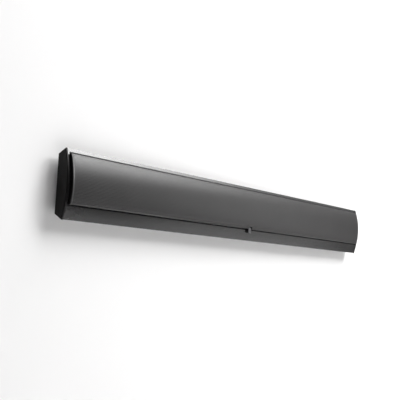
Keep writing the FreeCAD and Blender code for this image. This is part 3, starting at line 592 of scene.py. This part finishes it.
wool = finish("polyester_wool", (0.55, 0.54, 0.50), 0.95, grains=700, relief=0.9, sheen=0.6, dust=0.0)
for number, (low, high) in enumerate(solids_of("damping_pads")):
    shape = bmesh.new()
    bmesh.ops.create_cube(shape, size=1)
    long = [e for e in shape.edges if abs(e.verts[0].co.x - e.verts[1].co.x) > 0.5]
    bmesh.ops.subdivide_edges(shape, edges=long, cuts=9, use_grid_fill=True)
    bmesh.ops.subdivide_edges(shape, edges=shape.edges[:], cuts=2, use_grid_fill=True)
    middle, size = (low + high) / 2, high - low
    for vertex in shape.verts:
        p = vertex.co.copy()
        lump = 0.93 + 0.05 * math.sin(31 * p.x + 9 * p.z) * math.cos(17 * p.x - 5 * p.y)
        pinch = [1 - 0.16 * (2 * abs(p[(i + 1) % 3])) ** 4 * (2 * abs(p[(i + 2) % 3])) ** 4
                 for i in range(3)]
        swell = (0.99, lump, lump)
        vertex.co = middle + Vector([p[i] * size[i] * swell[i] * pinch[i] for i in range(3)])
    mesh = bpy.data.meshes.new("wool")
    shape.to_mesh(mesh)
    shape.free()
    pad = plain(mesh, "wool_pad_%d" % (number + 1), 80)
    fit_piece(pad, "cabinet", "damping_wool", wool)
    if number == 0:
        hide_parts("damping_pads")


# ---------------------------------------------------------------- woofers
# Six drivers, 76 mm square: a nylon frame held by four screws, a coated paper-pulp cone with a dust cap glued
# on, and a half-roll rubber surround that rolls as the cone moves. Behind are a cloth spider and a motor.
nylon = finish("filled_nylon", (0.018, 0.018, 0.019), 0.42, grains=2200, relief=0.03, dust=0.2)
pulp = finish("coated_pulp", (0.030, 0.030, 0.033), 0.50, grains=1300, relief=0.12, drift=0.3, dust=0.1)
cap_gloss = finish("dust_cap", (0.014, 0.014, 0.015), 0.26, grains=900, relief=0.02, coat=0.3, dust=0.1)
frame_boxes = solids_of("woofer_frames")
driver_z = (frame_boxes[0][0].z + frame_boxes[0][1].z) / 2
flange_y = frame_boxes[0][0].y
fit_piece(eased("woofer_frames", "driver_frames", 0.35 * mm), "cabinet", "frame_plastic", nylon,
          "woofer_frames")
frame_screw = screw_shape("frame_screw", 2.6 * mm, 1.5 * mm, 0.7 * mm)
driven("screws_woofers", frame_screw, front_seats("woofer_screws", 1.5 * mm), 7, screw_black, "screw_black",
       "woofer_screws")

cone_inner, cone_outer = 13.25 * mm, 27.0 * mm
roll_outer, roll_rise, roll_wall = 31.75 * mm, 2.6 * mm, 0.5 * mm
places = ["left_outer", "left_inner", "centre_left", "centre_right", "right_inner", "right_outer"]
sectors = 12
for number, (place, (low, high)) in enumerate(zip(places, frame_boxes)):
    x, body = (low.x + high.x) / 2, "woofer_" + place
    former_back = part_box("woofer_cone_" + place)[1].y
    rim = flange_y + 0.1 * mm
    # gently flared cone with three shallow stiffening ribs, and the coil former behind it
    steps = 24
    curve = []
    for i in range(steps + 1):
        t = i / steps
        rib = 0.18 * mm * max(0, math.cos((t * 3.5 - 0.4) * 2 * math.pi)) ** 4 * (0.1 < t < 0.93)
        curve.append((cone_outer + (cone_inner - cone_outer) * t, rim + 3.9 * mm * t ** 1.25 - rib))
    back_curve = [(r, y + 0.65 * mm) for r, y in reversed(curve)]
    former = [(12.8 * mm, back_curve[0][1]), (12.8 * mm, former_back), (cone_inner, former_back)]
    cone = turned("cone_" + place, curve + former + back_curve[1:], x, driver_z, 64, smooth_below=50)
    fit_piece(cone, body, "cone_pulp", pulp, "woofer_cone_" + place)
    # dust cap, a thin dome whose rolled edge is glued to the cone
    cap_radius, cap_rim = 14.75 * mm, rim + 3.35 * mm
    dome = [(cap_radius * math.sin(a), cap_rim - 3.2 * mm * math.cos(a)) for a in
            [math.radians(90 * i / 14) for i in range(15)]]
    inside = [(r * 0.965, y + 0.4 * mm) for r, y in reversed(dome)]
    dust_cap = turned("dust_cap_" + place, dome + inside, x, driver_z, 64)
    fit_piece(dust_cap, body, "cone_pulp", cap_gloss)
    # half-roll surround in twelve sectors between the frame and the cone
    middle, half = (cone_outer + roll_outer) / 2, (roll_outer - cone_outer) / 2
    arch = [(middle + half * math.cos(a), rim - roll_rise * math.sin(a)) for a in
            [math.radians(180 * i / 14) for i in range(15)]]
    thin, inner_rise = half - roll_wall, roll_rise - roll_wall
    under = [(middle + thin * math.cos(a), rim + 0.02 * mm - inner_rise * math.sin(a))
             for a in [math.radians(180 - 180 * i / 10) for i in range(11)]]
    for sector in range(sectors):
        width = 360 / sectors
        roll = turned("roll_%s_%d" % (place, sector + 1), arch + under, x, driver_z, 6,
                      sector * width - width / 2, width)
        roll.data.materials.append(soft_rubber)
        if number == 0 and sector == 0:
            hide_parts("woofer_surrounds")
        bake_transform(roll)

nickel = finish("nickel_plate", (0.55, 0.54, 0.52), 0.25, metallic=1.0, grains=3000, relief=0.01, smear=0.3)
spider_cloth = finish("spider_cloth", (0.38, 0.25, 0.10), 0.85, grains=2600, relief=0.2, sheen=0.3)
for node in ("woofer_yokes", "woofer_magnets", "woofer_pole_plates", "tweeter_motors"):
    coat_node(node, nickel)
coat_node("woofer_spiders", spider_cloth)


# ---------------------------------------------------------------- tweeters
# Three 25 mm domes of doped silk, each in a round moulded faceplate with a short flare, held by three screws
# between its pair of woofers. The silk's own edge is its surround.
silk = finish("doped_silk", (0.022, 0.022, 0.026), 0.34, grains=3000, relief=0.05, coat=0.2, sheen=0.1,
              dust=0.05)
fit_piece(eased("tweeter_faceplates", "tweeter_plates", 0.25 * mm), "cabinet", "frame_plastic", nylon,
          "tweeter_faceplates")
plate_screw = screw_shape("plate_screw", 2.4 * mm, 1.3 * mm, 0.6 * mm)
driven("screws_tweeters", plate_screw, front_seats("tweeter_screws", 1.3 * mm), 11, screw_black,
       "screw_black", "tweeter_screws")
for place, (low, high) in zip(("left", "centre", "right"), solids_of("tweeter_surrounds")):
    x = (low.x + high.x) / 2
    dome_low, dome_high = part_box("tweeter_dome_" + place)
    radius, rise = dome_high.x - x, 4.4 * mm
    rim = dome_low.y + rise
    ball = (radius ** 2 + rise ** 2) / (2 * rise)
    reach = math.asin(radius / ball)
    outside = [(ball * math.sin(a), rim - rise + ball * (1 - math.cos(a)))
               for a in [reach * i / 16 for i in range(17)]]
    inside = [(r * 0.97, y + 0.35 * mm) for r, y in reversed(outside)]
    former = [(radius, dome_high.y), (radius - 0.4 * mm, dome_high.y)]
    dome = turned("silk_dome_" + place, outside + former + inside, x, driver_z, 64)
    fit_piece(dome, "tweeter_" + place, "dome_silk", silk, "tweeter_dome_" + place)
    inner, outer, roll = radius + 0.06 * mm, (high.x - low.x) / 2, 0.3 * mm
    lip = [(outer, high.y), (outer, low.y + roll)]
    lip += [((inner + outer) / 2 + (outer - inner) / 2 * math.cos(a), low.y + roll - roll * math.sin(a))
            for a in [math.radians(180 * i / 8) for i in range(9)]] + [(inner, high.y)]
    ring = turned("silk_edge_" + place, lip, x, driver_z, 64)
    fit_piece(ring, "cabinet", "dome_silk", silk)
    if place == "left":
        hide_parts("tweeter_surrounds")


# ---------------------------------------------------------------- crossover and leads
# A green glass-fibre board on four spacers, with wound coils, film capacitors and ceramic resistors, and leads
# along the bottom of the cabinet. All of it is closed in behind the board that carries the drivers.
solder_mask = finish("solder_mask", (0.012, 0.065, 0.022), 0.30, grains=1200, relief=0.02, coat=0.4)
wound_copper = finish("wound_copper", (0.55, 0.20, 0.07), 0.32, metallic=0.9, grains=2500, relief=0.1)
film_sleeve = finish("film_sleeve", (0.34, 0.05, 0.02), 0.3, grains=700, relief=0.02, coat=0.3)
bare_ceramic = finish("bare_ceramic", (0.55, 0.52, 0.47), 0.8, grains=2600, relief=0.06)
lead_pvc = finish("lead_pvc", (0.22, 0.02, 0.02), 0.45, grains=1500, relief=0.02)
for node, material in (("crossover_board", solder_mask), ("board_spacers", nylon),
                       ("board_screws", screw_zinc), ("crossover_coils", wound_copper),
                       ("crossover_capacitors", film_sleeve), ("crossover_resistors", bare_ceramic),
                       ("speaker_leads", lead_pvc)):
    coat_node(node, material)


# ---------------------------------------------------------------- terminals
# A moulded cup sunk in the back, held by four screws, with six spring terminals in pairs. Each has a housing
# with a hole for stripped wire, a steel pin, a brass leaf and a ribbed lever, in red for positive.
terminal_black = finish("terminal_black", (0.015, 0.015, 0.015), 0.48, grains=2000, relief=0.04, dust=0.25)
fit_piece(eased("terminal_cup", "terminal_tray", 0.3 * mm), "cabinet", "terminal_plastic", terminal_black,
          "terminal_cup")
fit_piece(eased("terminal_blocks", "terminal_housings", 0.15 * mm), "cabinet", "terminal_plastic",
          terminal_black, "terminal_blocks")
contact_brass = finish("contact_brass", (0.62, 0.42, 0.14), 0.25, metallic=1.0, grains=2000, relief=0.01)
coat_node("terminal_contacts", contact_brass)
coat_node("lever_pins", screw_zinc)
lever_red = finish("lever_red", (0.36, 0.010, 0.008), 0.32, grains=1800, relief=0.015, coat=0.2)
lever_black = finish("lever_black", (0.012, 0.012, 0.012), 0.32, grains=1800, relief=0.015, coat=0.2)
block_boxes = solids_of("terminal_blocks")
polarity = [(c, p) for c in ("left", "centre", "right") for p in ("positive", "negative")]
marks = []
for (channel, pole), (low, high) in zip(polarity, block_boxes):
    name = channel + "_" + pole
    red = pole == "positive"
    slot, material = ("lever_red", lever_red) if red else ("lever_black", lever_black)
    lever = eased("terminal_lever_" + name, "lever_" + name, 0.2 * mm)
    fit_piece(lever, "lever_" + name, slot, material, "terminal_lever_" + name)
    # raised plus and minus signs on the cup's rim
    x, z, arm, stroke = (low.x + high.x) / 2, cup_low.z + 2.7 * mm, 1.5 * mm, 0.3 * mm
    root, top = cup_high.y - 0.2 * mm, cup_high.y + 0.25 * mm
    marks.append(slab("mark", (x - arm, root, z - stroke), (x + arm, top, z + stroke)))
    if red:
        marks.append(slab("mark", (x - stroke, root, z - arm), (x + stroke, top, z + arm)))
signs = combined(marks[0], marks[1:], "UNION")
signs.name = "polarity_signs"
fit_piece(signs, "cabinet", "terminal_plastic", terminal_black)


# ---------------------------------------------------------------- grille
# A perforated steel sheet, bowed forward and folded back along both long edges, in satin black powder coat. It
# is clipped over a moulded frame, with black acoustic cloth between, and its pegs push into the baffle.
skin_low, skin_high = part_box("grille_skin")
sheet_wall, fold_round = 1.0 * mm, 1.5 * mm
edge_top, edge_bottom, sheet_bow = (22.0, 50.2), (26.1, -33.2), 5.8
chord = math.hypot(edge_bottom[0] - edge_top[0], edge_top[1] - edge_bottom[1])
bow_radius = (chord ** 2 / 4 + sheet_bow ** 2) / (2 * sheet_bow)
lean = math.atan2(edge_bottom[0] - edge_top[0], edge_top[1] - edge_bottom[1])
bow_depth = (edge_top[0] + edge_bottom[0]) / 2 + (sheet_bow - bow_radius) * math.cos(lean)
bow_height = (edge_top[1] + edge_bottom[1]) / 2 + (sheet_bow - bow_radius) * math.sin(lean)
half_reach = math.asin(chord / 2 / bow_radius)
bow_radius, bow_height, bow_y = bow_radius * mm, bow_height * mm, outline_back - bow_depth * mm


def on_bow(v, inset=0.0):
    """(y, z) on the sheet at a distance v down its curve from the middle, moved inwards."""
    a = lean - v / bow_radius
    return bow_y - (bow_radius - inset) * math.cos(a), bow_height + (bow_radius - inset) * math.sin(a)


sheet_back, curve_half = outline_back - 17.8 * mm, half_reach * bow_radius
plain_margin, pitch, hole = 1.9 * mm, 2.66 * mm, 1.05 * mm
row_step = pitch * math.cos(math.radians(30))
rows = int((2 * (curve_half - plain_margin)) / row_step)
columns = int((skin_high.x - skin_low.x - 2 * plain_margin) / pitch - 0.5)
holed_v, holed_x = rows * row_step / 2, (columns + 0.5) * pitch / 2


def edge_fold(sign, steps=6):
    """Outer line of a folded edge, from the perforated field round the fold and back, as (y, z) points."""
    z_edge = skin_high.z if sign < 0 else skin_low.z
    line = [on_bow(sign * (holed_v + (curve_half - fold_round * 1.05 - holed_v) * i / 3)) for i in range(4)]
    start = Vector(line[-1])
    end = Vector((start.x + fold_round * 1.1, z_edge))
    corner = Vector((start.x - 0.02 * mm, z_edge))
    for i in range(1, steps + 1):
        t = i / steps
        line.append(tuple(start * (1 - t) ** 2 + corner * 2 * t * (1 - t) + end * t ** 2))
    return line + [(sheet_back, z_edge)]


def inward(line, wall, towards):
    """The line moved towards a point's side by the wall, for the sheet's inner face."""
    moved = []
    for i, point in enumerate(line):
        a, b = Vector(line[max(0, i - 1)]), Vector(line[min(len(line) - 1, i + 1)])
        side = Vector((-(b - a).y, (b - a).x)).normalized()
        if side.dot(Vector(towards) - Vector(point)) < 0:
            side.negate()
        moved.append(tuple(Vector(point) + side * wall))
    return moved[::-1]


heart = (sheet_back, (skin_high.z + skin_low.z) / 2)
strips = []
for sign in (-1, 1):
    line = edge_fold(sign)
    strips.append(prism("strip", line + inward(line, sheet_wall, heart), -holed_x, holed_x))
whole = edge_fold(-1)[::-1] + [on_bow(-holed_v + 2 * holed_v * i / 40) for i in range(1, 40)] + edge_fold(1)
for x0, x1 in ((skin_low.x, -holed_x), (holed_x, skin_high.x)):
    strips.append(prism("strip", whole + inward(whole, sheet_wall, heart), x0, x1))
tab_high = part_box("centre_tab")[1]
notch_half, notch_top = tab_high.x + 2.0 * mm, tab_high.z + 1.6 * mm
patch_half, patch_top = notch_half + 2.5 * mm, notch_top + 2.5 * mm
patch_v = (lean + math.asin((bow_height - patch_top) / bow_radius)) * bow_radius
patch_line = [on_bow(patch_v + (holed_v - patch_v) * i / 5, -0.03 * mm) for i in range(6)]
strips.append(prism("strip", patch_line + inward(patch_line, sheet_wall, heart), -patch_half, patch_half))
solid_part = combined(strips[0], strips[1:], "UNION")
opening_cut = slab("notch", (-notch_half, -1, -1), (notch_half, 1, notch_top))
solid_part = rounded(combined(solid_part, [opening_cut]), 0.15 * mm)
solid_part = baked(solid_part)

# one cell of the perforation: a rectangle of sheet with a six-sided hole
cell = bpy.data.meshes.new("cell")
half_x, half_v = pitch / 2, row_step / 2
rim_points = [(half_x, half_v), (0, half_v), (-half_x, half_v)]
rim_points += [(-x, -v) for x, v in rim_points]
hole_points = [(hole / 2 * math.cos(a), hole / 2 * math.sin(a))
               for a in [math.radians(30 + 60 * i) for i in range(6)]]
cell.from_pydata([(x, v, 0) for x, v in rim_points + hole_points], [],
                 [(i, (i + 1) % 6, 6 + (i + 1) % 6, 6 + i) for i in range(6)])
cell_object = bpy.data.objects.new("cell", cell)
filler = bpy.data.meshes.new("filler")
filler.from_pydata([(x * pitch / 4, v * half_v, 0) for x, v in ((-1, -1), (1, -1), (1, 1), (-1, 1))], [],
                   [(0, 1, 2, 3)])
filler_object = bpy.data.objects.new("filler", filler)
for template in (cell_object, filler_object):
    scene.collection.objects.link(template)

perforating, p_in, p_out = modifier_tree("perforated_field", [
    ("Cell", "NodeSocketObject", None), ("Filler", "NodeSocketObject", None),
    ("Columns", "NodeSocketInt", 10), ("Rows", "NodeSocketInt", 10),
    ("Pitch", "NodeSocketFloat", 0.003), ("Row Step", "NodeSocketFloat", 0.0026),
    ("Bow Radius", "NodeSocketFloat", 0.15), ("Bow Y", "NodeSocketFloat", 0.0),
    ("Bow Height", "NodeSocketFloat", 0.0), ("Lean", "NodeSocketFloat", 0.0),
    ("Notch Half Width", "NodeSocketFloat", 0.01), ("Notch Top", "NodeSocketFloat", 0.0),
    ("Finish", "NodeSocketMaterial", None)])
new, link = perforating.nodes.new, perforating.links.new
given = p_in.outputs


def calc(operation, a, b=None, c=None):
    return maths(perforating, operation, a, b, c)


def vector(x=None, y=None, z=None):
    node = new("ShaderNodeCombineXYZ")
    for socket, value in zip(node.inputs, (x, y, z)):
        if value is not None:
            link(value, socket)
    return node.outputs[0]


def moved(geometry, offset=None, position=None):
    node = new("GeometryNodeSetPosition")
    for label, value in (("Geometry", geometry), ("Offset", offset), ("Position", position)):
        if value is not None:
            link(value, node.inputs[label])
    return node.outputs[0]


def position():
    split_position = new("ShaderNodeSeparateXYZ")
    link(new("GeometryNodeInputPosition").outputs[0], split_position.inputs[0])
    return split_position.outputs


def odd_row():
    """1 on every other row of points, and 0 on the rest."""
    row = calc("ROUND", calc("DIVIDE", calc("ADD", position()["Y"], calc("MULTIPLY", given["Row Step"],
               calc("DIVIDE", calc("SUBTRACT", given["Rows"], 1.0), 2.0))), given["Row Step"]))
    return calc("MODULO", row, 2.0)


field = new("GeometryNodeMeshGrid")
link(calc("MULTIPLY", given["Pitch"], calc("SUBTRACT", given["Columns"], 1.0)), field.inputs["Size X"])
link(calc("MULTIPLY", given["Row Step"], calc("SUBTRACT", given["Rows"], 1.0)), field.inputs["Size Y"])
link(given["Columns"], field.inputs["Vertices X"])
link(given["Rows"], field.inputs["Vertices Y"])
shift = calc("MULTIPLY", given["Pitch"], calc("SUBTRACT", calc("DIVIDE", odd_row(), 2.0), 0.25))
cells_at = moved(field.outputs["Mesh"], offset=vector(x=shift))
ends = new("GeometryNodeMeshGrid")
ends.inputs["Vertices X"].default_value = 2
link(calc("MULTIPLY", given["Pitch"], given["Columns"]), ends.inputs["Size X"])
link(calc("MULTIPLY", given["Row Step"], calc("SUBTRACT", given["Rows"], 1.0)), ends.inputs["Size Y"])
link(given["Rows"], ends.inputs["Vertices Y"])
wanted = new("GeometryNodeDeleteGeometry")
link(ends.outputs["Mesh"], wanted.inputs["Geometry"])
on_right = calc("GREATER_THAN", position()["X"], 0.0)
link(calc("COMPARE", on_right, odd_row(), 0.1), wanted.inputs["Selection"])
joined = new("GeometryNodeJoinGeometry")
for points, label in ((cells_at, "Cell"), (wanted.outputs[0], "Filler")):
    info, copies = new("GeometryNodeObjectInfo"), new("GeometryNodeInstanceOnPoints")
    link(given[label], info.inputs["Object"])
    link(points, copies.inputs["Points"])
    link(info.outputs["Geometry"], copies.inputs["Instance"])
    link(copies.outputs[0], joined.inputs[0])
real = new("GeometryNodeRealizeInstances")
link(joined.outputs[0], real.inputs[0])
angle = calc("ADD", given["Lean"], calc("DIVIDE", position()["Y"], given["Bow Radius"]))
bent_y = calc("SUBTRACT", given["Bow Y"], calc("MULTIPLY", given["Bow Radius"], calc("COSINE", angle)))
bent_z = calc("ADD", given["Bow Height"], calc("MULTIPLY", given["Bow Radius"], calc("SINE", angle)))
bent = moved(real.outputs[0], position=vector(position()["X"], bent_y, bent_z))
room = new("GeometryNodeDeleteGeometry")
room.domain = "FACE"
link(bent, room.inputs["Geometry"])
inside_x = calc("LESS_THAN", calc("ABSOLUTE", position()["X"]), given["Notch Half Width"])
inside_z = calc("LESS_THAN", position()["Z"], given["Notch Top"])
link(calc("MULTIPLY", inside_x, inside_z), room.inputs["Selection"])
together_again, skin_paint = new("GeometryNodeJoinGeometry"), new("GeometryNodeSetMaterial")
link(room.outputs[0], together_again.inputs[0])
link(given["Geometry"], together_again.inputs[0])
link(together_again.outputs[0], skin_paint.inputs["Geometry"])
link(given["Finish"], skin_paint.inputs["Material"])
link(skin_paint.outputs[0], p_out.inputs[0])

satin_grille = finish("satin_grille", (0.0305, 0.0298, 0.0302), 0.34, grains=2600, relief=0.008, smear=0.05,
                      dust=0.02)
solid_part.name = "grille_sheet"
field_modifier = solid_part.modifiers.new("perforations", "NODES")
field_modifier.node_group = perforating
give_inputs(field_modifier, Cell=cell_object, Filler=filler_object, Columns=columns, Rows=rows, Pitch=pitch,
            Row_Step=row_step, Bow_Radius=bow_radius, Bow_Y=bow_y, Bow_Height=bow_height, Lean=lean,
            Notch_Half_Width=notch_half + 1.5 * mm, Notch_Top=notch_top + 1.5 * mm, Finish=satin_grille)
fit_piece(baked(solid_part), "grille", "grille_metal", satin_grille, "grille_skin")

cloth_low, cloth_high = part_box("grille_cloth")
cloth_black = finish("acoustic_cloth", (0.006, 0.006, 0.006), 0.95, grains=1800, relief=0.15, sheen=0.15,
                     dust=0.02)
across, cloth_gap = 36, 1.12 * mm
cloth_mesh = bpy.data.meshes.new("cloth_behind_sheet")
cloth_v = [-holed_v + 2 * holed_v * i / across for i in range(across + 1)]
cloth_x = [cloth_low.x, -16 * mm, 16 * mm, cloth_high.x]
cloth_mesh.from_pydata([(x, *on_bow(v, cloth_gap)) for x in cloth_x for v in cloth_v], [],
                       [(i * (across + 1) + j, i * (across + 1) + j + 1, (i + 1) * (across + 1) + j + 1,
                         (i + 1) * (across + 1) + j) for i in range(3) for j in range(across)
                        if i != 1 or on_bow(cloth_v[j + 1])[1] > patch_top])
cloth = plain(cloth_mesh, "cloth_behind_sheet")
cloth_wall = cloth.modifiers.new("thickness", "SOLIDIFY")
cloth_wall.thickness, cloth_wall.offset = 0.3 * mm, -1
fit_piece(cloth, "grille", "grille_fabric", cloth_black, "grille_cloth")

fit_piece(eased("grille_frame", "grille_ribs", 0), "grille", "frame_plastic", nylon, "grille_frame")
fit_piece(eased("grille_pegs", "push_pegs", 0.2 * mm), "grille", "frame_plastic", nylon, "grille_pegs")
fit_piece(eased("grille_end_plates", "grille_ends", 0.15 * mm), "grille", "cap_plastic", cap_black,
          "grille_end_plates")


# ---------------------------------------------------------------- centre tab
# A small block of satin aluminium over the seam, screwed to the lower trim from behind. Its face is brushed
# along the bar and its front edges are rounded.
brushed = finish("brushed_aluminium", (0.13, 0.13, 0.135), 0.34, metallic=1.0, grains=3000, stretch=30,
                 relief=0.02, smear=0.15, dust=0.15)
fit_piece(eased("centre_tab", "trim_tab", 0.2 * mm), "cabinet", "tab_metal", brushed, "centre_tab")


# ---------------------------------------------------------------- finish
for template in (pan_head, small_pan, flush_head, frame_screw, plate_screw, cell_object, filler_object):
    bpy.data.objects.remove(template)
